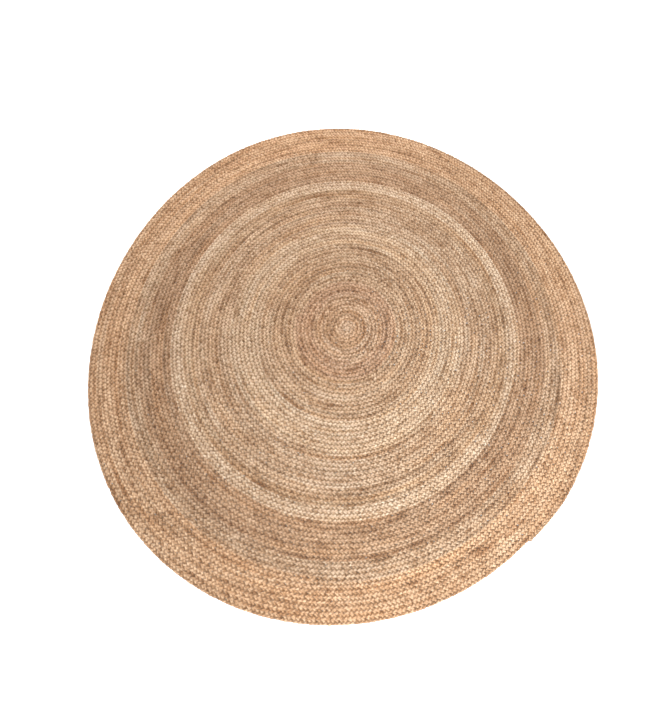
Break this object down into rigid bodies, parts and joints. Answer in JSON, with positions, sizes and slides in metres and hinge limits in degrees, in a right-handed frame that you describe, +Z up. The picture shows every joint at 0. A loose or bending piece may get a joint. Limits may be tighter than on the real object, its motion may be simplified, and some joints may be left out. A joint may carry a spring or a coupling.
{
  "type": "braided round rug",
  "caption": "Round flat rug of three-strand jute braid wound in a spiral from the centre and sewn edge to edge, in natural tan, brown, pale and golden rings.",
  "frame": {"origin": "centre of the spiral, on the floor under the rug", "axes": "+Z up out of the rug's face; +X and +Y lie in the floor, with the braid's tail end at 45 degrees between +X and -Y"},
  "size_m": [1.7593, 1.8262, 0.008],
  "materials": {
    "jute_centre_tan": "matt natural jute fibre, faint sheen along the strands",
    "jute_inner_brown": "matt natural jute fibre, faint sheen along the strands",
    "jute_inner_beige": "matt natural jute fibre, faint sheen along the strands",
    "jute_brown_ring": "matt natural jute fibre, faint sheen along the strands",
    "jute_field_beige": "matt natural jute fibre, faint sheen along the strands",
    "jute_field_light": "matt natural jute fibre, faint sheen along the strands",
    "jute_field_mid": "matt natural jute fibre, faint sheen along the strands",
    "jute_russet": "matt natural jute fibre, faint sheen along the strands",
    "jute_pale": "matt natural jute fibre, faint sheen along the strands",
    "jute_brown": "matt natural jute fibre, faint sheen along the strands",
    "jute_grey_beige": "matt natural jute fibre, faint sheen along the strands",
    "jute_gold": "matt natural jute fibre, faint sheen along the strands",
    "sewing_thread": "matt waxed thread"
  },
  "bodies": {
    "root": {"braid_centre_tan": "jute_centre_tan", "braid_inner_brown": "jute_inner_brown", "braid_inner_beige": "jute_inner_beige", "braid_brown_ring": "jute_brown_ring", "braid_field_beige": "jute_field_beige", "braid_field_light": "jute_field_light", "braid_field_mid": "jute_field_mid", "braid_russet_line": "jute_russet", "braid_pale_ring": "jute_pale", "braid_brown_band": "jute_brown", "braid_grey_band": "jute_grey_beige", "braid_gold_border": "jute_gold", "thread_into_inner_brown": "sewing_thread", "thread_into_inner_beige": "sewing_thread", "thread_into_brown_ring": "sewing_thread", "thread_into_field_beige": "sewing_thread", "thread_into_field_light": "sewing_thread", "thread_into_field_mid": "sewing_thread", "thread_into_russet_line": "sewing_thread", "thread_into_pale_ring": "sewing_thread", "thread_into_brown_band": "sewing_thread", "thread_into_grey_band": "sewing_thread", "thread_into_gold_border": "sewing_thread"}
  },
  "joints": []
}
